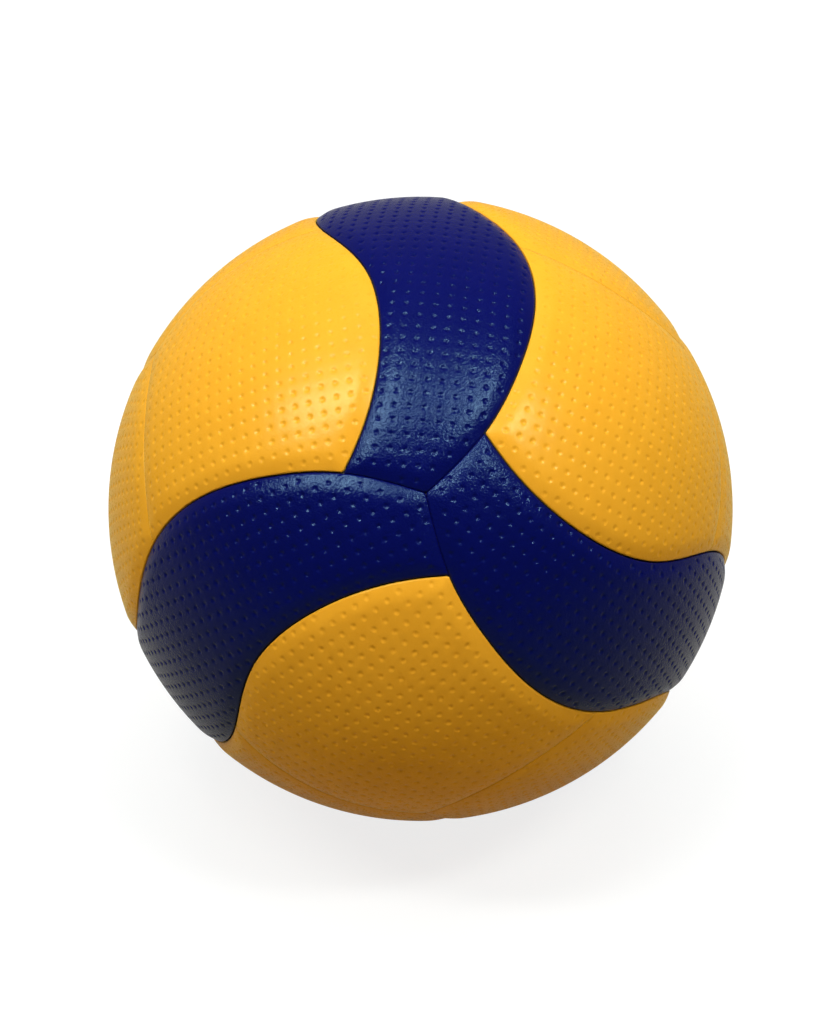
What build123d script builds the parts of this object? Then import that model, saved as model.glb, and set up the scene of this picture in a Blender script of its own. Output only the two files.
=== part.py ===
from build123d import *
import os
from math import acos, cos, degrees, hypot, pi, radians, sin, sqrt, tan

# A volleyball with 18 panels. Lengths are in millimetres and angles in degrees.
# The ball's centre is the origin, +Z passes up through the middle of a blue panel,
# and the valve is in the middle of the blue panel on +Y.

# Driving dimensions of the ball and its layers, from the outside in
circumference = 660.0
seam_depth = 1.5
skin_edge_thickness = 0.4
foam_thickness = 1.8
cover_thickness = 0.5
winding_thickness = 0.7
bladder_thickness = 0.8

# How far in from a seam the skin starts to roll down, and the slope that it starts with
seam_roll_width = 4.5
seam_roll_slope = 8.0

# Driving dimensions of the valve
needle_bore_diameter = 2.2
needle_bore_length = 10.0
needle_funnel_depth = 1.0
needle_funnel_flare = 0.6
core_wall = 1.7
core_tip_thickness = 4.0
core_barb_height = 0.5
core_barb_length = 2.0
core_barb_depth = 6.0
core_clearance = 0.05
housing_wall = 1.7
housing_flange_width = 7.5
housing_flange_thickness = 1.4
valve_recess = 0.7
neck_clearance = 0.1

# Layer radii
outer_radius = circumference / (2 * pi)
skin_thickness = seam_depth + skin_edge_thickness
foam_radius = outer_radius - skin_thickness
cover_radius = foam_radius - foam_thickness
winding_radius = cover_radius - cover_thickness
bladder_radius = winding_radius - winding_thickness
cavity_radius = bladder_radius - bladder_thickness

# Valve sizes that follow from the driving ones, with heights measured from the ball's centre
needle_radius = needle_bore_diameter / 2
core_radius = needle_radius + core_wall
core_length = needle_funnel_depth + needle_bore_length + core_tip_thickness
barb_radius = core_radius + core_barb_height
neck_radius = barb_radius + core_clearance + housing_wall
neck_hole_radius = neck_radius + neck_clearance
flange_radius = neck_radius + housing_flange_width
valve_top = outer_radius - valve_recess
valve_bottom = valve_top - core_length
bore_top = valve_top - needle_funnel_depth
bore_bottom = bore_top - needle_bore_length
barb_top = valve_top - core_barb_depth
barb_bottom = barb_top - core_barb_length

# The top blue panel is laid out in degrees of arc from its middle: first along it, then across it.
# A blue corner is where three blue panels meet, and a yellow corner where three yellow ones meet.
along = Vector(1, 1, 0).normalized()
across = Vector(-1, 1, 0).normalized()
up = Vector(0, 0, 1)
corner_angle = degrees(acos(1 / sqrt(3)))
blue_corner = (corner_angle, 0)
yellow_corner = (0, corner_angle)

# Points of the long blue edge, from its blue corner towards its far end, and of the yellow seam
blue_bend = (50.2, 5.4)
blue_end = (44.8, 10.25)
wide_side = [(34, 15.7), (18, 19.0)]
yellow_start = (4, 16.9)
narrow_side = [(-14, 9.0), (-28, 7.1), (-40, 9.1)]
yellow_bends = [(5.5, 30), (4.2, 44)]
yellow_middle = (22, 30)

# The walls between panels are cut from well inside the ball to well outside it
wall_inner_radius = cavity_radius * 0.9
wall_outer_radius = outer_radius * 1.1

# A rolled edge is a few bevels, given as shares of its width from the crown to the seam.
# Each is sampled along the edge, and runs on past its sides and its ends.
bevel_shares = [1.0, 0.45, 0.0]
bevel_steps = 16
bevel_side_run = seam_roll_width / 4
bevel_end_run = seam_roll_width * 2


def turn(shape, axis_direction, angle):
    """Turn a shape or a vector about an axis through the ball's centre."""
    return shape.rotate(Axis((0, 0, 0), axis_direction), angle)


def spot(place):
    """Unit vector at a place on the top panel, given in degrees along and across it."""
    angle = hypot(*place)
    sideways = (along * place[0] + across * place[1]) / angle
    return up * cos(radians(angle)) + sideways * sin(radians(angle))


# A third of a turn about the top panel's yellow corner carries each yellow panel to the next one
yellow_axis = spot(yellow_corner)
yellow_turn = -120.0
far_end = turn(spot(blue_end), yellow_axis, yellow_turn)


def long_edge(radius):
    """One whole side of the top blue panel, from its blue corner to its far end."""
    places = [blue_corner, blue_bend, blue_end] + wide_side + [yellow_start] + narrow_side
    return Edge.make_spline([spot(place) * radius for place in places] + [far_end * radius])


def parted_edge(radius):
    """The long edge in three: beside a blue panel, and beside each of two yellow panels."""
    edge = long_edge(radius)
    at_end = edge.param_at_point(spot(blue_end) * radius)
    at_seam = edge.param_at_point(spot(yellow_start) * radius)
    return [edge.trim(0, at_end), edge.trim(at_end, at_seam), edge.trim(at_seam, 1)]


def yellow_seam(radius):
    """The seam between two yellow panels, from a blue edge to their yellow corner."""
    places = [yellow_start] + yellow_bends + [yellow_corner]
    return Edge.make_spline([spot(place) * radius for place in places])


def blue_outline(radius):
    """Edges round the top blue panel, cut wherever a neighbour ends."""
    parts = parted_edge(radius)
    half = parts + [turn(parts[0], yellow_axis, yellow_turn)]
    return half + [turn(edge, up, 180) for edge in half]


def blue_sides(radius):
    """Edges round the top blue panel, cut only at its corners."""
    half = [long_edge(radius), turn(parted_edge(radius)[0], yellow_axis, yellow_turn)]
    return half + [turn(edge, up, 180) for edge in half]


def yellow_outline(radius):
    """Edges round the yellow panel beside the top blue panel."""
    seam = yellow_seam(radius)
    _, wide_edge, narrow_edge = parted_edge(radius)
    last_edge = turn(narrow_edge, yellow_axis, -yellow_turn)
    last_seam = turn(seam, yellow_axis, -yellow_turn)
    return [seam, wide_edge, last_edge, last_seam]


def fence(outline):
    """Closed fence of radial walls round a panel."""
    pairs = zip(outline(wall_inner_radius), outline(wall_outer_radius))
    return Shell([Face.make_surface_from_curves(inner, outer) for inner, outer in pairs])


def layer(radius, thickness):
    """Hollow sphere with its poles across the top panel."""
    hollow = Solid.make_sphere(radius) - Solid.make_sphere(radius - thickness)
    return Plane(origin=(0, 0, 0), z_dir=across, x_dir=-up).location * hollow


def panel(radius, thickness, outline, middle):
    """The stretch of a layer inside an outline, round the given middle."""
    pieces = layer(radius, thickness).split(fence(outline), keep=Keep.ALL)
    return min(pieces, key=lambda piece: piece.distance_to(Vertex(*(middle * radius))))


def dip(inset):
    """How far the skin lies below the ball's round, at a distance in from the seam."""
    run = seam_roll_width - inset
    slope = tan(radians(seam_roll_slope))
    bend = (seam_depth - slope * seam_roll_width) / seam_roll_width ** 2
    return slope * run + bend * run ** 2


def edge_offset(edge, side, inset, depth):
    """Spline beside an edge, moved in over the panel and down from the ball's round."""
    stations = [(step / bevel_steps, 0) for step in range(bevel_steps + 1)]
    stations = [(0, -bevel_end_run)] + stations + [(1, bevel_end_run)]
    angle = inset / outer_radius
    points = []
    for share, run in stations:
        heading = edge.tangent_at(share)
        outward = (edge.position_at(share) + heading * run).normalized()
        inward = outward.cross(heading).normalized() * side
        points.append((outward * cos(angle) + inward * sin(angle)) * (outer_radius - depth))
    return Edge.make_spline(points)


def bevel(edge, middle, far, near):
    """Ruled surface along an edge, on the line between two points of the skin's roll."""
    left = edge.position_at(0.5).cross(edge.tangent_at(0.5))
    side = 1 if left.dot(middle) > 0 else -1
    slope = (dip(near) - dip(far)) / (far - near)
    crown_side = edge_offset(edge, side, far + bevel_side_run, dip(far) - slope * bevel_side_run)
    seam_side = edge_offset(edge, side, near - bevel_side_run, dip(near) + slope * bevel_side_run)
    return Face.make_surface_from_curves(crown_side, seam_side)


def skin_panel(outline, sides, middle):
    """Outer panel with its edges rolled down to the seams."""
    skin = panel(outer_radius, skin_thickness, outline, middle)
    insets = [share * seam_roll_width for share in bevel_shares]
    for edge in sides(outer_radius):
        for far, near in zip(insets, insets[1:]):
            pieces = skin.split(bevel(edge, middle, far, near), keep=Keep.ALL)
            skin = max(pieces, key=lambda piece: piece.volume)
    return skin


def foam_panel(outline, middle):
    """Foam backing that lies under an outer panel."""
    return panel(foam_radius, foam_thickness, outline, middle)


def post(radius):
    """Rod along the valve's axis, from the ball's centre to beyond its outside."""
    return Solid.make_cylinder(radius, wall_outer_radius, Plane(origin=(0, 0, 0), z_dir=(0, 1, 0)))


def turned(points):
    """Solid turned about the valve's axis from points given as radius and height."""
    return Solid.revolve(make_face(Polyline(*points, close=True)).face(), 360, Axis.Y)


def valve_core():
    """Soft plug with a funnel and a blind bore for the pump's needle, and a barb that holds it."""
    return turned([
        (needle_radius + needle_funnel_flare, valve_top),
        (needle_radius, bore_top),
        (needle_radius, bore_bottom),
        (0, bore_bottom),
        (0, valve_bottom),
        (core_radius, valve_bottom),
        (core_radius, barb_bottom),
        (barb_radius, barb_bottom),
        (core_radius, barb_top),
        (core_radius, valve_top),
    ])


def valve_housing():
    """Rubber sleeve round the core, with a flange that sits on the inside of the bladder."""
    hole = core_radius + core_clearance
    groove = barb_radius + core_clearance
    sleeve = turned([
        (hole, valve_top),
        (neck_radius, valve_top),
        (neck_radius, valve_bottom),
        (hole, valve_bottom),
        (hole, barb_bottom - core_clearance),
        (groove, barb_bottom - core_clearance),
        (hole, barb_top + core_clearance),
    ])
    flange = layer(cavity_radius, housing_flange_thickness) & post(flange_radius)
    return sleeve + (flange - post((hole + neck_radius) / 2))


def write(name, shape):
    """Save one piece under its name."""
    shape.label = name
    export_step(shape, f"parts/{name}.step")


def write_blue_panels():
    """Save the six blue panels and their foam, with a hole for the valve in the one at the back."""
    skin = skin_panel(blue_outline, blue_sides, up)
    foam = foam_panel(blue_outline, up)
    to_right = 120
    diagonal = (1, 1, 1)
    moves = {
        "top": [],
        "bottom": [((1, 0, 0), 180)],
        "right": [(diagonal, to_right)],
        "left": [(diagonal, to_right), ((0, 0, 1), 180)],
        "back": [(diagonal, -to_right)],
        "front": [(diagonal, -to_right), ((0, 0, 1), 180)],
    }
    for name, turns in moves.items():
        for suffix, shape in (("", skin), ("_foam", foam)):
            for axis_direction, angle in turns:
                shape = turn(shape, axis_direction, angle)
            if name == "back":
                shape = shape - post(neck_hole_radius)
            write(f"blue_panel_{name}{suffix}", shape)


def write_yellow_panels():
    """Save the twelve yellow panels and their foam, three round each yellow corner."""
    skin = skin_panel(yellow_outline, yellow_outline, spot(yellow_middle))
    foam = foam_panel(yellow_outline, spot(yellow_middle))
    corners = {
        "left_upper": ((0, 0, 1), 0),
        "left_lower": ((1, 0, 0), 180),
        "right_lower": ((0, 1, 0), 180),
        "right_upper": ((0, 0, 1), 180),
    }
    for corner, (axis_direction, angle) in corners.items():
        for number in range(3):
            for suffix, shape in (("", skin), ("_foam", foam)):
                shape = turn(shape, yellow_axis, number * yellow_turn)
                shape = turn(shape, axis_direction, angle)
                write(f"yellow_panel_{corner}_{number + 1}{suffix}", shape)


def write_carcass():
    """Save the round layers under the panels, each with a hole for the valve."""
    hole = post(neck_hole_radius)
    write("carcass_cover", layer(cover_radius, cover_thickness) - hole)
    write("thread_winding", layer(winding_radius, winding_thickness) - hole)
    write("bladder", layer(bladder_radius, bladder_thickness) - hole)


os.makedirs("parts", exist_ok=True)
write_blue_panels()
write_yellow_panels()
write_carcass()
write("valve_housing", valve_housing())
write("valve_core", valve_core())
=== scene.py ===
from math import acos, cos, degrees, hypot, pi, radians, sin, sqrt

import bpy
import numpy as np
from mathutils import Matrix, Vector
from mathutils.geometry import delaunay_2d_cdt


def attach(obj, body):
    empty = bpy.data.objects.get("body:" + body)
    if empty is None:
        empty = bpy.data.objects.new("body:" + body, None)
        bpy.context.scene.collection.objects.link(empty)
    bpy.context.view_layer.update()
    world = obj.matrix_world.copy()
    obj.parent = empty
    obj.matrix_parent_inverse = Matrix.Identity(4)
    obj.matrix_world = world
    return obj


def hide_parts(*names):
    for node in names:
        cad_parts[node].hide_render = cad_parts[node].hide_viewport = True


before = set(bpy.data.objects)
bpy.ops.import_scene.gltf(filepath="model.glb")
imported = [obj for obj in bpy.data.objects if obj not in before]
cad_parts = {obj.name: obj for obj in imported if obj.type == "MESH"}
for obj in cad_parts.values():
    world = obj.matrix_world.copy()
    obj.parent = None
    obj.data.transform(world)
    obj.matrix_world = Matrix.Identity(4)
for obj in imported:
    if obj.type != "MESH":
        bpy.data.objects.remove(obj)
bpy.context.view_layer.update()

# The panels of a volleyball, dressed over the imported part. Lengths are in metres, angles in degrees.
# The layout is the same as in the part: +Z is the middle of the top blue panel.

# Driving dimensions of the ball's skin
circumference = 0.660
seam_depth = 0.0015
skin_edge_thickness = 0.0004
valve_hole_radius = 0.00515
ball_radius = circumference / (2 * pi)
skin_thickness = seam_depth + skin_edge_thickness
thinnest_skin = skin_edge_thickness / 4

# The rolled edge beside a seam is a tight lip and a gentle shoulder, each with its width and drop
lip = (0.0006, 0.00022)
shoulder = (0.0062, 0.00124)

# How a seam between two panels is closed: the gap left open, and its shares of the lip and the shoulder
between_colours = (0.00052, 1.0, 1.0)
between_blues = (0.00010, 0.1, 1.0)
between_yellows = (0.00008, 0.1, 0.50)

# Power that blends the drops of two sides where they meet at a corner
corner_blend = 4.0

# The dimples pressed into the leather, with a radius and a depth for each colour
dimple_pitch = 0.0042
blue_dimple = (0.00115, 0.00033)
yellow_dimple = (0.00120, 0.00027)
dimple_seam_room = 0.0015
blue_lattice_tilt = -6.5
yellow_lattice_tilt = 3.0
# Mesh layer with each point's share of a dimple's depth; the leather paints shade into the dimples with it
dimple_shade_layer = "dimple"

# How finely the panels are meshed
span_samples = 60
outline_step = 0.0002
edge_step = 0.0005
ring_step = 0.0009
fill_step = 0.0015
inner_step = 0.008
hole_points = 64
hole_row_points = 56
hole_rows = 4

# Rows of points beside a seam and round the valve's hole, by their distance from it
roll_insets = [0.00036, 0.00048, 0.0006, 0.0009, 0.0013, 0.0019, 0.0028, 0.0040, 0.0057, 0.0075]
hole_insets = roll_insets[:hole_rows]

# Rings of points in a dimple: the share of its radius, and the number of points
dimple_rings = [(0.3, 6), (0.55, 10), (0.8, 12), (1.0, 14)]

# How near other points come to a dimple's middle, as shares of its radius
roll_dimple_room = 1.25
fill_dimple_room = 1.45

# Shares of a distance that still count as the whole of it
inset_tolerance = 0.98
hole_tolerance = 0.999

# The flat maps that the panels are meshed on are in millimetres
millimetre = 0.001
merge_distance = 1e-6
least_length = 1e-12

# Turns that bring a panel to its other places
half_turn = 180
third_turn = 120
panels_at_corner = 3

# Layout of the top panel, in degrees of arc along it and across it from its middle
along = np.array([1, 1, 0]) / sqrt(2)
across = np.array([-1, 1, 0]) / sqrt(2)
up = np.array([0.0, 0.0, 1.0])
corner_angle = degrees(acos(1 / sqrt(3)))
blue_corner = (corner_angle, 0)
yellow_corner = (0, corner_angle)
blue_bend = (50.2, 5.4)
blue_end = (44.8, 10.25)
wide_side = [(34, 15.7), (18, 19.0)]
yellow_start = (4, 16.9)
narrow_side = [(-14, 9.0), (-28, 7.1), (-40, 9.1)]
yellow_bends = [(5.5, 30), (4.2, 44)]
yellow_middle = (22, 30)


def unit(vectors):
    """Vectors scaled to length one."""
    return vectors / np.linalg.norm(vectors, axis=-1, keepdims=True)


def spot(place):
    """Unit vector at a place on the top panel, given in degrees along and across it."""
    angle = hypot(*place)
    sideways = (along * place[0] + across * place[1]) / angle
    return up * cos(radians(angle)) + sideways * sin(radians(angle))


def turn_matrix(axis_direction, angle):
    """Matrix of a turn about an axis through the ball's centre."""
    x, y, z = unit(np.array(axis_direction, float))
    cross = np.array([[0, -z, y], [z, 0, -x], [-y, x, 0]])
    return np.eye(3) + sin(radians(angle)) * cross + (1 - cos(radians(angle))) * cross @ cross


def turned(points, axis_direction, angle):
    """Points turned about an axis through the ball's centre."""
    return points @ turn_matrix(axis_direction, angle).T


def resampled(curve, step):
    """Points spaced evenly along a curve on the ball, both ends among them."""
    lengths = np.linalg.norm(np.diff(curve, axis=0), axis=1)
    run = np.concatenate([[0], np.cumsum(lengths)])
    count = max(2, int(round(run[-1] * ball_radius / step)) + 1)
    stations = np.linspace(0, run[-1], count)
    return unit(np.stack([np.interp(stations, run, curve[:, k]) for k in range(3)], axis=1))


def spline_spans(places):
    """Smooth curve through unit vectors, as one run of samples for each span between them."""
    points = np.array(places)
    length = np.linalg.norm(np.diff(points, axis=0), axis=1)
    slope = np.diff(points, axis=0) / length[:, None]
    count = len(points)
    weights = np.zeros((count, count))
    sides = np.zeros((count, 3))
    weights[0, 0] = 1
    weights[-1, -1] = 1
    sides[0] = slope[0] - length[0] * (slope[1] - slope[0]) / (length[0] + length[1])
    sides[-1] = slope[-1] + length[-1] * (slope[-1] - slope[-2]) / (length[-1] + length[-2])
    for k in range(1, count - 1):
        weights[k, k - 1] = length[k]
        weights[k, k] = 2 * (length[k - 1] + length[k])
        weights[k, k + 1] = length[k - 1]
        sides[k] = 3 * (length[k] * slope[k - 1] + length[k - 1] * slope[k])
    tangents = np.linalg.solve(weights, sides)
    share = np.linspace(0, 1, span_samples)[:, None]
    spans = []
    for k in range(count - 1):
        start = points[k] * (2 * share ** 3 - 3 * share ** 2 + 1)
        end = points[k + 1] * (3 * share ** 2 - 2 * share ** 3)
        leave = tangents[k] * length[k] * (share ** 3 - 2 * share ** 2 + share)
        arrive = tangents[k + 1] * length[k] * (share ** 3 - share ** 2)
        spans.append(unit(start + end + leave + arrive))
    return spans


def joined(spans):
    """One curve from spans that follow each other."""
    return np.concatenate([spans[0]] + [span[1:] for span in spans[1:]])


# The seams round the top panel, and from them the sides of one blue and one yellow panel
yellow_axis = spot(yellow_corner)
far_end = turned(spot(blue_end), yellow_axis, -third_turn)
edge_places = [blue_corner, blue_bend, blue_end] + wide_side + [yellow_start] + narrow_side
edge_spans = spline_spans([spot(place) for place in edge_places] + [far_end])
end_span = edge_places.index(blue_end)
seam_span = edge_places.index(yellow_start)
blue_edge = joined(edge_spans[:end_span])
yellow_edge = joined(edge_spans[end_span:])
wide_edge = joined(edge_spans[end_span:seam_span])
narrow_edge = joined(edge_spans[seam_span:])
seam_places = [yellow_start] + yellow_bends + [yellow_corner]
yellow_seam = joined(spline_spans([spot(place) for place in seam_places]))

far_seam = turned(blue_edge, yellow_axis, -third_turn)[::-1]
half_outline = [blue_edge, yellow_edge, far_seam]
blue_sides = half_outline + [turned(side, up, half_turn) for side in half_outline]
yellow_sides = [
    wide_edge[::-1],
    turned(narrow_edge, yellow_axis, third_turn)[::-1],
    turned(yellow_seam, yellow_axis, third_turn),
    yellow_seam[::-1],
]


def local_axes(middle):
    """Two directions that lie flat on the ball at a point, and the point itself."""
    first = unit(along - middle * (along @ middle))
    return first, np.cross(middle, first), middle


def flattened(points, axes):
    """Places in millimetres on a flat map of the ball round the axes' middle."""
    first, second, middle = axes
    angle = np.arccos(np.clip(points @ middle, -1, 1))
    sideways = np.stack([points @ first, points @ second], axis=1)
    size = np.maximum(np.linalg.norm(sideways, axis=1, keepdims=True), least_length)
    return sideways / size * (angle * ball_radius / millimetre)[:, None]


def side_distance(points, side):
    """Distance from each unit vector to a side, in metres."""
    nearest = np.argmax(points @ side.T, axis=1)
    heading = unit(np.gradient(side, axis=0))[nearest]
    gap = points - side[nearest]
    half_step = outline_step / 2 / ball_radius
    run = np.clip((gap * heading).sum(axis=1), -half_step, half_step)
    return ball_radius * np.linalg.norm(gap - heading * run[:, None], axis=1)


def side_distances(points, sides):
    """Distances from each unit vector to all the sides."""
    return np.stack([side_distance(points, side) for side in sides])


def nearest_distance(points, places):
    """Distance along the ball from each unit vector to the nearest of some places."""
    return np.arccos(np.clip((points @ places.T).max(axis=1), -1, 1)) * ball_radius


def far_from(points, places, distance):
    """Which unit vectors keep a distance along the ball from all the places."""
    return (points @ places.T).max(axis=1) < cos(distance / ball_radius)


def inset_points(sides, insets, step):
    """Points at a distance in from each side, in order round the panel."""
    rows = []
    limits = np.array(insets)[:, None] * inset_tolerance
    for side, inset in zip(sides, insets):
        stations = resampled(side, step)
        inward = np.cross(stations, unit(np.gradient(stations, axis=0)))
        angle = inset / ball_radius
        moved = unit(stations * cos(angle) + inward * sin(angle))
        rows.append(moved[(side_distances(moved, sides) > limits).all(axis=0)])
    return np.concatenate(rows)


def roll_drop(distances, *rolls):
    """How far the skin lies below the ball's round, from its distances to the sides and their rolls."""
    drop = 0
    # Each roll is a cubic that is steepest at the seam and ends level
    for (width, depth), shares in rolls:
        inward = np.clip(distances / width, 0, 1)
        drops = shares[:, None] * depth * (1 - 1.5 * inward + 0.5 * inward ** 3)
        drop = drop + (drops ** corner_blend).sum(axis=0) ** (1 / corner_blend)
    return drop


def inside(flat, loop):
    """Whether each flat place lies inside a closed flat loop."""
    result = np.zeros(len(flat), bool)
    ends = np.roll(loop, -1, axis=0)
    for (x0, y0), (x1, y1) in zip(loop, ends):
        crosses = (y0 > flat[:, 1]) != (y1 > flat[:, 1])
        if not crosses.any():
            continue
        level = x0 + (flat[:, 1] - y0) / (y1 - y0) * (x1 - x0)
        result ^= crosses & (flat[:, 0] < level)
    return result


def grid_on_ball(axes, pitch, tilt=0.0, staggered=False):
    """Grid of unit vectors round the axes' middle, with rows along the first axis before the tilt."""
    first, second, middle = axes
    reach = int(pi / 2 * ball_radius / pitch)
    rows = np.arange(-reach, reach + 1)
    across_rows, along_rows = np.meshgrid(rows, rows, indexing="ij")
    x = along_rows * pitch
    y = across_rows * pitch
    if staggered:
        x = x + (across_rows % 2) * pitch / 2
        y = y * sqrt(3) / 2
    longitude = (x * cos(radians(tilt)) - y * sin(radians(tilt))).ravel() / ball_radius
    latitude = (x * sin(radians(tilt)) + y * cos(radians(tilt))).ravel() / ball_radius
    # Only the part of the ball that a panel can reach
    near = (abs(longitude) < pi / 2) & (abs(latitude) < pi / 3)
    longitude = longitude[near]
    latitude = latitude[near]
    return (
        np.outer(np.cos(latitude) * np.cos(longitude), middle)
        + np.outer(np.cos(latitude) * np.sin(longitude), first)
        + np.outer(np.sin(latitude), second)
    )


def circle_on_ball(centre, radius, count, start=0.0):
    """Unit vectors round a point at a distance along the ball."""
    first, second, _ = local_axes(centre)
    angles = start + np.arange(count) * 2 * pi / count
    sideways = np.outer(np.cos(angles), first) + np.outer(np.sin(angles), second)
    return centre * cos(radius / ball_radius) + sideways * sin(radius / ball_radius)


def dimple_points(centres, radius):
    """The middles of all the dimples, then the rings of points round each of them."""
    rows = [centres]
    for centre in centres:
        for share, count in dimple_rings:
            rows.append(circle_on_ball(centre, share * radius, count, share * pi))
    return np.concatenate(rows)


def pairs_round(loop):
    """Each number of a closed loop with the next one."""
    return zip(loop, loop[1:] + loop[:1])


def triangles(flat, loops, hole_radius):
    """Triangles between flat places, inside the outline and outside a hole in the map's middle."""
    within_edges = 1
    edges = [pair for loop in loops for pair in pairs_round(loop)]
    places = [Vector((float(x), float(y))) for x, y in flat]
    _, _, found, sources, _, _ = delaunay_2d_cdt(places, edges, [], within_edges, merge_distance, True)
    faces = np.array([[sources[k][0] for k in face] for face in found])

    # Some triangles found lie in the hollows of the outline, so each one's middle is tested
    middles = flat[faces].mean(axis=1)
    kept = inside(middles, flat[loops[0]])
    if hole_radius:
        kept &= np.linalg.norm(middles, axis=1) > hole_radius / millimetre * hole_tolerance
    return faces[kept]


def wall_faces(loops, offset):
    """Faces from the outer side to the inner side, round the outline and round the hole."""
    outline, *holes = loops
    walls = []
    for loop in [outline] + [hole[::-1] for hole in holes]:
        for a, b in pairs_round(loop):
            walls.append((a, offset + a, offset + b, b))
    return walls


def panel_mesh(sides, closings, middle, tilt, dimple, hole_radius=0.0):
    """A closed panel's points, their shares of a dimple's depth, its faces and its count of outer ones."""
    axes = local_axes(middle)
    dimple_radius, dimple_depth = dimple
    gaps, lip_shares, shoulder_shares = np.array(closings).T
    sides = [resampled(side, outline_step) for side in sides]
    outline = inset_points(sides, gaps / 2, edge_step)
    outline_flat = flattened(outline, axes)

    def clear(points, room):
        """Which points lie on the panel with room to its sides and to the hole."""
        within = inside(flattened(points, axes), outline_flat)
        within[within] = side_distances(points[within], sides).min(axis=0) > room
        if hole_radius:
            within &= far_from(points, middle[None], hole_radius + room)
        return within

    # Points of the outer side: its edges, the dimples, rows beside the edges, and a grid in between
    centres = grid_on_ball(axes, dimple_pitch, tilt)
    centres = centres[clear(centres, dimple_seam_room)]
    hole = np.zeros((0, 3))
    rolls = [inset_points(sides, [inset] * len(sides), ring_step) for inset in roll_insets]
    loops = [list(range(len(outline)))]
    if hole_radius:
        hole = circle_on_ball(middle, hole_radius, hole_points)
        rolls += [circle_on_ball(middle, hole_radius + inset, hole_row_points) for inset in hole_insets]
        loops.append([len(outline) + k for k in range(hole_points)])
    rolls = np.concatenate(rolls)
    rolls = rolls[far_from(rolls, centres, dimple_radius * roll_dimple_room)]
    fill = grid_on_ball(axes, fill_step, staggered=True)
    fill = fill[clear(fill, roll_insets[-1] + fill_step / 2)]
    fill = fill[far_from(fill, centres, dimple_radius * fill_dimple_room)]
    outer = np.concatenate([outline, hole, dimple_points(centres, dimple_radius), rolls, fill])
    outer_faces = triangles(flattened(outer, axes), loops, hole_radius)

    # How far each of them lies below the ball's round
    drop = roll_drop(side_distances(outer, sides), (lip, lip_shares), (shoulder, shoulder_shares))
    if hole_radius:
        from_hole = nearest_distance(outer, middle[None]) - hole_radius
        drop += skin_edge_thickness * np.clip(1 - from_hole / hole_insets[-1], 0, 1) ** 2
    press = 0.5 + 0.5 * np.cos(pi * np.clip(nearest_distance(outer, centres) / dimple_radius, 0, 1))
    drop += dimple_depth * press
    drop = np.minimum(drop, skin_thickness - thinnest_skin)

    # The plain inner side has the same edges
    inner_fill = grid_on_ball(axes, inner_step, staggered=True)
    inner_fill = inner_fill[clear(inner_fill, inner_step / 2)]
    inner = np.concatenate([outline, hole, inner_fill])
    inner_faces = triangles(flattened(inner, axes), loops, hole_radius)

    outer_points = outer * (ball_radius - drop)[:, None]
    inner_points = inner * (ball_radius - skin_thickness)
    points = np.concatenate([outer_points, inner_points])
    pressed = np.concatenate([press, np.zeros(len(inner))])
    offset = len(outer)
    inner_side = (inner_faces[:, ::-1] + offset).tolist()
    faces = outer_faces.tolist() + wall_faces(loops, offset) + inner_side
    return points, pressed, faces, len(outer_faces)


def add_panel(name, mesh, turns, material):
    """One panel turned to its place, standing for its CAD node."""
    points, pressed, faces, smooth_count = mesh
    for axis_direction, angle in turns:
        points = turned(points, axis_direction, angle)
    data = bpy.data.meshes.new(name + "_skin")
    data.from_pydata(points.tolist(), [], faces)
    smooth = np.zeros(len(faces), bool)
    smooth[:smooth_count] = True
    data.polygons.foreach_set("use_smooth", smooth)
    # Each point's share of a dimple's depth is kept for the leather, which paints shade into the dimples
    # with it
    data.attributes.new(dimple_shade_layer, "FLOAT", "POINT").data.foreach_set("value", pressed)
    data.materials.append(material)
    data.update()
    piece = bpy.data.objects.new(name + "_skin", data)
    bpy.context.scene.collection.objects.link(piece)
    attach(piece, "root")
    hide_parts(name)


# A mix node has sockets of the same name for each kind of value, so those for colours go by number
mix_first = 6
mix_second = 7
mix_result = 2

# Sizes of the leather's grain, of its fibres and of the soft changes in its tone
grain_size = 0.00065
fibre_size = 0.00080
tone_size = 0.009

# How much a rubber's roughness varies, and how deep its mottle is for its size
rubber_spread = 0.08
rubber_relief = 0.03

# The cells in the foam
cell_size = 0.0006
cell_depth = 0.0001

# The wound thread: the scale, waver and depth of its waves, and how each set is turned, in radians
thread_scale = 300.0
thread_waver = 1.5
thread_depth = 0.0003
thread_turns = [(0.0, 0.0, 0.0), (1.0, 0.3, 0.6), (0.4, 1.2, -0.5)]


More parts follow.
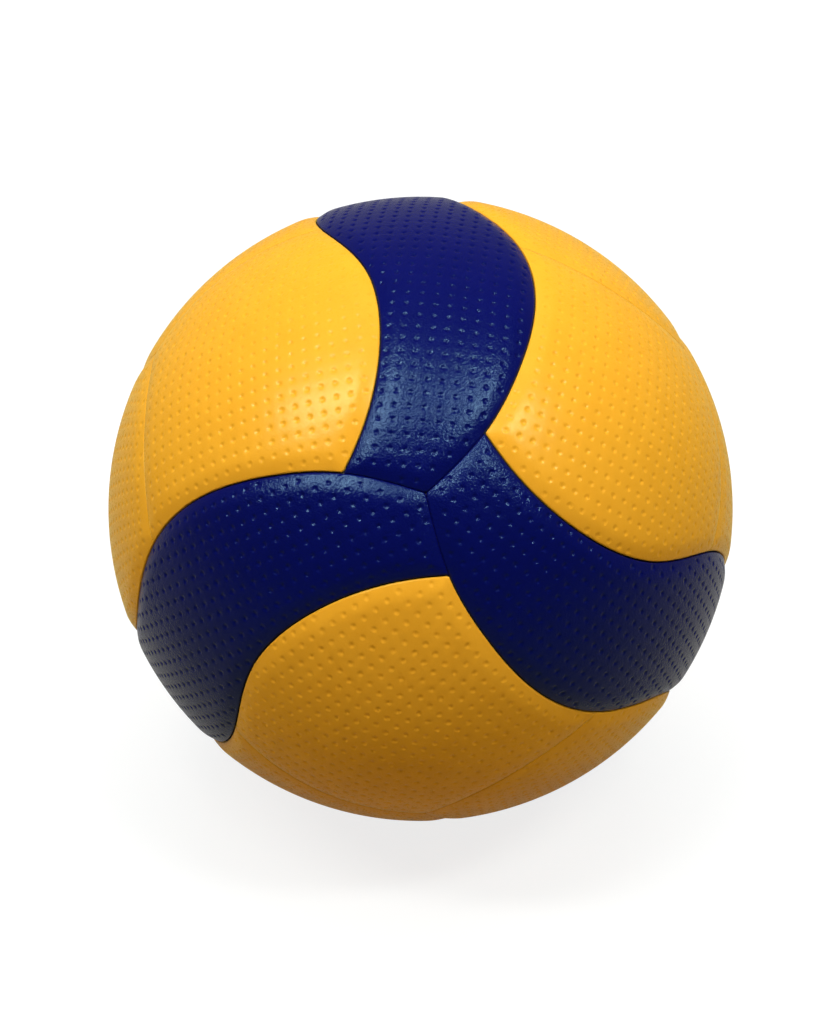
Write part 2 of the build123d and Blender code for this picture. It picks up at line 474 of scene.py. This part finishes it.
class Shader:
    """Small helper that adds and links the nodes of one material."""

    def __init__(self, name):
        self.material = bpy.data.materials.new(name)
        self.material.use_nodes = True
        self.tree = self.material.node_tree
        self.main = self.tree.nodes["Principled BSDF"]
        self.place = self.tree.nodes.new("ShaderNodeTexCoord").outputs["Object"]

    def add(self, kind, **values):
        """New node with its sockets set or linked by name."""
        node = self.tree.nodes.new(kind)
        for key, value in values.items():
            self.put(node.inputs[key.replace("_", " ")], value)
        return node

    def put(self, socket, value):
        """Set a socket to a value, or link it to another socket."""
        if isinstance(value, bpy.types.NodeSocket):
            self.tree.links.new(value, socket)
        else:
            socket.default_value = value

    def noise(self, size, detail, roughness):
        """Noise with features of about the given size in metres."""
        node = self.add("ShaderNodeTexNoise", Vector=self.place, Scale=1 / size)
        self.put(node.inputs["Detail"], detail)
        self.put(node.inputs["Roughness"], roughness)
        return node.outputs["Fac"]

    def cells(self, size):
        """Distance to the nearest of scattered points about the given size apart."""
        node = self.add("ShaderNodeTexVoronoi", Vector=self.place, Scale=1 / size)
        return node.outputs["Distance"]

    def layer(self, name):
        """Number kept at each point of the mesh."""
        node = self.tree.nodes.new("ShaderNodeAttribute")
        node.attribute_name = name
        return node.outputs["Fac"]

    def ranged(self, factor, low, high, start=0.3, end=0.7):
        """Factor stretched from its usual middle range to the given limits."""
        node = self.add("ShaderNodeMapRange", Value=factor)
        node.inputs["From Min"].default_value = start
        node.inputs["From Max"].default_value = end
        node.inputs["To Min"].default_value = low
        node.inputs["To Max"].default_value = high
        return node.outputs["Result"]

    def worked(self, operation, first, second):
        """Number worked out from two others."""
        node = self.tree.nodes.new("ShaderNodeMath")
        node.operation = operation
        self.put(node.inputs[0], first)
        self.put(node.inputs[1], second)
        return node.outputs["Value"]

    def mixed(self, factor, first, second):
        """Blend of two colours by a factor."""
        node = self.tree.nodes.new("ShaderNodeMix")
        node.data_type = "RGBA"
        self.put(node.inputs["Factor"], factor)
        self.put(node.inputs[mix_first], first)
        self.put(node.inputs[mix_second], second)
        return node.outputs[mix_result]

    def bumped(self, height, depth):
        """Surface direction bent by a height in metres."""
        node = self.add("ShaderNodeBump", Height=height, Distance=depth, Strength=1.0)
        return node.outputs["Normal"]

    def finish(self, **values):
        """Set the main shader's sockets and hand the material back."""
        for key, value in values.items():
            self.put(self.main.inputs[key.replace("_", " ")], value)
        return self.material


def colour(red, green, blue):
    """Opaque colour."""
    return (red, green, blue, 1.0)


white = colour(1, 1, 1)


def leather(name, light, dark, painted_pit_shade, grain_depth, roughness, specular, tint, sheen=0.0, sheen_tint=white):
    """Microfibre leather with a fine grain, a soft change of tone, and painted shade darkening the
    dimples.
    """
    shader = Shader(name)
    grain = shader.noise(grain_size, detail=2.0, roughness=0.55)
    fibre = shader.noise(fibre_size, detail=2.0, roughness=0.6)
    tone = shader.noise(tone_size, detail=3.0, roughness=0.6)
    plain = shader.mixed(shader.ranged(tone, 0.0, 1.0), light, dark)
    return shader.finish(
        # The colour is mixed toward a darker one in the dimples: painted shade in their hollows
        Base_Color=shader.mixed(shader.layer(dimple_shade_layer), plain, painted_pit_shade),
        Roughness=shader.ranged(fibre, *roughness),
        Specular_IOR_Level=specular,
        Specular_Tint=tint,
        Sheen_Weight=sheen,
        Sheen_Roughness=0.4,
        Sheen_Tint=sheen_tint,
        Normal=shader.bumped(grain, grain_depth),
    )


def rubber(name, light, dark, mottle_size, roughness):
    """Moulded rubber with a slightly uneven skin."""
    shader = Shader(name)
    mottle = shader.noise(mottle_size, detail=4.0, roughness=0.6)
    return shader.finish(
        Base_Color=shader.mixed(shader.ranged(mottle, 0.0, 1.0), light, dark),
        Roughness=shader.ranged(mottle, roughness - rubber_spread, roughness + rubber_spread),
        Specular_IOR_Level=0.4,
        Normal=shader.bumped(mottle, mottle_size * rubber_relief),
    )


def foam(name, light, dark, roughness):
    """Closed-cell foam with small round cells."""
    shader = Shader(name)
    cells = shader.cells(cell_size)
    return shader.finish(
        Base_Color=shader.mixed(shader.ranged(cells, 0.0, 1.0), light, dark),
        Roughness=shader.ranged(cells, *roughness),
        Specular_IOR_Level=0.2,
        Normal=shader.bumped(cells, cell_depth),
    )


def winding(name, light, dark, roughness):
    """Nylon thread wound in many crossing turns."""
    shader = Shader(name)
    heights = []
    for thread_turn in thread_turns:
        mapping = shader.add("ShaderNodeMapping", Vector=shader.place, Rotation=thread_turn)
        wave = shader.add("ShaderNodeTexWave", Vector=mapping.outputs["Vector"], Scale=thread_scale)
        shader.put(wave.inputs["Distortion"], thread_waver)
        heights.append(wave.outputs["Fac"])
    thread = heights[0]
    for height in heights[1:]:
        thread = shader.worked("MAXIMUM", thread, height)
    return shader.finish(
        Base_Color=shader.mixed(thread, dark, light),
        Roughness=shader.ranged(thread, *roughness),
        Specular_IOR_Level=0.4,
        Normal=shader.bumped(thread, thread_depth),
    )


materials = {
    "blue": leather(
        "blue_leather",
        light=colour(0.0010, 0.0018, 0.094),
        dark=colour(0.0008, 0.0015, 0.085),
        # Darker colour painted into the dimples as shade
        painted_pit_shade=colour(0.0008, 0.0014, 0.078),
        grain_depth=0.00015,
        roughness=(0.13, 0.24),
        specular=0.138,
        tint=colour(0.42, 0.79, 1.0),
    ),
    "yellow": leather(
        "yellow_leather",
        light=colour(0.92, 0.430, 0.026),
        dark=colour(0.88, 0.400, 0.022),
        # Darker colour painted into the dimples as shade
        painted_pit_shade=colour(0.88, 0.402, 0.022),
        grain_depth=0.00004,
        roughness=(0.25, 0.33),
        specular=0.07,
        tint=colour(0.25, 1.0, 0.6),
        sheen=0.3,
        sheen_tint=colour(1.0, 0.9, 0.05),
    ),
    "foam": foam(
        "panel_foam",
        light=colour(0.008, 0.008, 0.009),
        dark=colour(0.003, 0.003, 0.004),
        roughness=(0.75, 0.9),
    ),
    "cover": rubber(
        "carcass_rubber",
        light=colour(0.050, 0.050, 0.052),
        dark=colour(0.030, 0.030, 0.032),
        mottle_size=0.002,
        roughness=0.6,
    ),
    "winding": winding(
        "winding_nylon",
        light=colour(0.75, 0.73, 0.68),
        dark=colour(0.35, 0.33, 0.29),
        roughness=(0.7, 0.45),
    ),
    "bladder": rubber(
        "bladder_rubber",
        light=colour(0.035, 0.034, 0.034),
        dark=colour(0.020, 0.020, 0.021),
        mottle_size=0.004,
        roughness=0.5,
    ),
    "housing": rubber(
        "valve_rubber",
        light=colour(0.030, 0.030, 0.031),
        dark=colour(0.016, 0.016, 0.017),
        mottle_size=0.0012,
        roughness=0.55,
    ),
    "core": rubber(
        "core_rubber",
        light=colour(0.060, 0.060, 0.062),
        dark=colour(0.035, 0.035, 0.037),
        mottle_size=0.0010,
        roughness=0.5,
    ),
}

# The inner layers and the valve keep their CAD shape and get their materials
inner_materials = {
    "carcass_cover": "cover",
    "thread_winding": "winding",
    "bladder": "bladder",
    "valve_housing": "housing",
    "valve_core": "core",
}
for name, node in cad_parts.items():
    kind = "foam" if name.endswith("_foam") else inner_materials.get(name)
    if kind:
        node.data.materials.clear()
        node.data.materials.append(materials[kind])

# The turns that bring each panel from its first place to its own
x_axis = (1, 0, 0)
y_axis = (0, 1, 0)
z_axis = (0, 0, 1)
diagonal = (1, 1, 1)
blue_moves = {
    "top": [],
    "bottom": [(x_axis, half_turn)],
    "right": [(diagonal, third_turn)],
    "left": [(diagonal, third_turn), (z_axis, half_turn)],
    "back": [(diagonal, -third_turn)],
    "front": [(diagonal, -third_turn), (z_axis, half_turn)],
}
corner_moves = {
    "left_upper": [],
    "left_lower": [(x_axis, half_turn)],
    "right_lower": [(y_axis, half_turn)],
    "right_upper": [(z_axis, half_turn)],
}

# One blue panel, one with the valve's hole and one yellow panel, then all their copies
blue_closings = [between_blues, between_colours, between_blues] * 2
yellow_closings = [between_colours, between_colours, between_yellows, between_yellows]
blue_form = (blue_sides, blue_closings, up, blue_lattice_tilt, blue_dimple)
yellow_form = (yellow_sides, yellow_closings, spot(yellow_middle), yellow_lattice_tilt, yellow_dimple)
blue_mesh = panel_mesh(*blue_form)
valve_mesh = panel_mesh(*blue_form, valve_hole_radius)
yellow_mesh = panel_mesh(*yellow_form)
for place, turns in blue_moves.items():
    mesh = valve_mesh if place == "back" else blue_mesh
    add_panel(f"blue_panel_{place}", mesh, turns, materials["blue"])
for corner, corner_turns in corner_moves.items():
    for number in range(panels_at_corner):
        name = f"yellow_panel_{corner}_{number + 1}"
        turns = [(yellow_axis, -third_turn * number)] + corner_turns
        add_panel(name, yellow_mesh, turns, materials["yellow"])

# Camera, from the ball's outline and seams in the photograph, in its pixels
camera_direction = Vector((-0.6042, -0.5832, 0.5430))
camera_radii = 5.127
camera_distance = camera_radii * ball_radius
sensor_width = 36.0
long_side_pixels = 1024
focal_pixels = 1570
frame_centre = (419, 512)
ball_pixel = (420.54, 508.78)
camera_right = Vector(z_axis).cross(camera_direction).normalized()
camera_up = camera_direction.normalized().cross(camera_right)
camera_data = bpy.data.cameras.new("camera")
camera_data.sensor_width = sensor_width
camera_data.lens = sensor_width * focal_pixels / long_side_pixels
camera_data.shift_x = (frame_centre[0] - ball_pixel[0]) / long_side_pixels
camera_data.shift_y = (ball_pixel[1] - frame_centre[1]) / long_side_pixels
camera_data.clip_start = 0.01
camera = bpy.data.objects.new("camera", camera_data)
camera.location = camera_direction * camera_distance
camera.rotation_mode = "QUATERNION"
camera.rotation_quaternion = (-camera_direction).to_track_quat("-Z", "Y")
bpy.context.scene.collection.objects.link(camera)
bpy.context.scene.camera = camera

# The floor: half its side, its glow by the ball, and the distances over which that rises to full white
floor_reach = 8.0
floor_glow = 0.80
floor_fade = (0.4, 1.5)

# The floor's pale tone, and the warm one that it has for the light that it throws back up
floor_pale = colour(0.25, 0.26, 0.25)
floor_warm = colour(0.36, 0.27, 0.08)

# How much of the floor's glow, of its pale tone and of the world's white shows in the ball's gloss
glow_in_gloss = 0.22
pale_in_gloss = 0.85
world_in_gloss = 0.26

# The world's light on everything
ambient = 0.05

# The two long softboxes, from the highlights that they leave in the photograph, in its pixels
left_highlight = (345, 404)
right_highlight = (494, 415)
softbox_distance = 1.3
left_box_size = (0.85, 0.15)
right_box_size = (0.50, 0.15)

# The other lights are further off, each with its direction, size and radiance
fill_distance = 1.5
fill_lights = {
    "overhead": ((0.12, 0.08, 1.0), (1.2, 1.2), 3.6),
    "back_right": ((0.95, 0.03, 0.25), (1.2, 0.9), 0.9),
    "back_left": ((0.03, 0.95, 0.25), (1.2, 0.9), 0.8),
}


def white_to_rays(tree, mirrored):
    """Factor that is 1 for camera rays and a share of 1 for glossy and transmission rays."""
    path = tree.nodes.new("ShaderNodeLightPath")
    total = path.outputs["Is Camera Ray"]
    for name in ("Is Glossy Ray", "Is Transmission Ray"):
        share = tree.nodes.new("ShaderNodeMath")
        share.operation = "MULTIPLY_ADD"
        tree.links.new(path.outputs[name], share.inputs[0])
        share.inputs[1].default_value = mirrored
        tree.links.new(total, share.inputs[2])
        total = share.outputs["Value"]
    return total


def add_floor():
    """Pale floor that looks white, keeps the ball's shadow and throws warm light back up."""
    corners = [(-1, -1), (1, -1), (1, 1), (-1, 1)]
    data = bpy.data.meshes.new("floor")
    points = [(x * floor_reach, y * floor_reach, -ball_radius) for x, y in corners]
    data.from_pydata(points, [], [(0, 1, 2, 3)])
    shader = Shader("floor")
    distance = shader.add("ShaderNodeVectorMath")
    distance.operation = "LENGTH"
    shader.put(distance.inputs[0], shader.place)
    glow = shader.ranged(distance.outputs["Value"], floor_glow, 1.0, *floor_fade)
    data.materials.append(shader.finish(
        Base_Color=shader.mixed(white_to_rays(shader.tree, pale_in_gloss), floor_warm, floor_pale),
        Roughness=1.0,
        Specular_IOR_Level=0.0,
        Emission_Color=white,
        Emission_Strength=shader.worked("MULTIPLY", white_to_rays(shader.tree, glow_in_gloss), glow),
    ))
    floor = bpy.data.objects.new("floor", data)
    bpy.context.scene.collection.objects.link(floor)


def add_softbox(name, direction, distance, size, radiance, diffuse=True, glossy=True):
    """Soft rectangular light that faces the ball, with its first side level in the picture."""
    data = bpy.data.lights.new(name, "AREA")
    data.shape = "RECTANGLE"
    data.size, data.size_y = size
    data.energy = radiance * size[0] * size[1] * pi
    box = bpy.data.objects.new(name, data)
    toward = Vector(direction).normalized()
    sideways = (camera_right - toward * camera_right.dot(toward)).normalized()
    facing = Matrix((sideways, toward.cross(sideways), toward)).transposed()
    box.location = toward * distance
    box.rotation_mode = "QUATERNION"
    box.rotation_quaternion = facing.to_quaternion()
    box.visible_diffuse = diffuse
    box.visible_glossy = glossy
    box.visible_camera = False
    bpy.context.scene.collection.objects.link(box)


def mirror_direction(x, y):
    """Direction that the ball mirrors to the camera at a pixel of the photograph."""
    ray = camera_right * (x - ball_pixel[0]) - camera_up * (y - ball_pixel[1])
    ray = (ray - camera_direction.normalized() * focal_pixels).normalized()
    middle = camera.location.dot(ray)
    reach = -middle - sqrt(middle ** 2 - camera_distance ** 2 + ball_radius ** 2)
    return ray.reflect((camera.location + ray * reach).normalized())


def add_world():
    """World that looks white and gives everything a little light."""
    world = bpy.data.worlds.new("studio")
    bpy.context.scene.world = world
    world.use_nodes = True
    tree = world.node_tree
    background = tree.nodes["Background"]
    background.inputs["Color"].default_value = white
    level = tree.nodes.new("ShaderNodeMath")
    level.operation = "MULTIPLY_ADD"
    tree.links.new(white_to_rays(tree, world_in_gloss), level.inputs[0])
    level.inputs[1].default_value = 1 - ambient
    level.inputs[2].default_value = ambient
    tree.links.new(level.outputs["Value"], background.inputs["Strength"])


# Each long softbox is two lights in one place: one for the soft light, one for the glint in the gloss
left_box = (mirror_direction(*left_highlight), softbox_distance, left_box_size)
right_box = (mirror_direction(*right_highlight), softbox_distance, right_box_size)
add_floor()
add_softbox("left_softbox", *left_box, radiance=20.5, glossy=False)
add_softbox("right_softbox", *right_box, radiance=26.5, glossy=False)
add_softbox("left_glint", *left_box, radiance=115.0, diffuse=False)
add_softbox("right_glint", *right_box, radiance=125.0, diffuse=False)
for name, (direction, size, radiance) in fill_lights.items():
    add_softbox(name, direction, fill_distance, size, radiance, glossy=False)
add_world()

bpy.context.scene.view_settings.view_transform = "Standard"
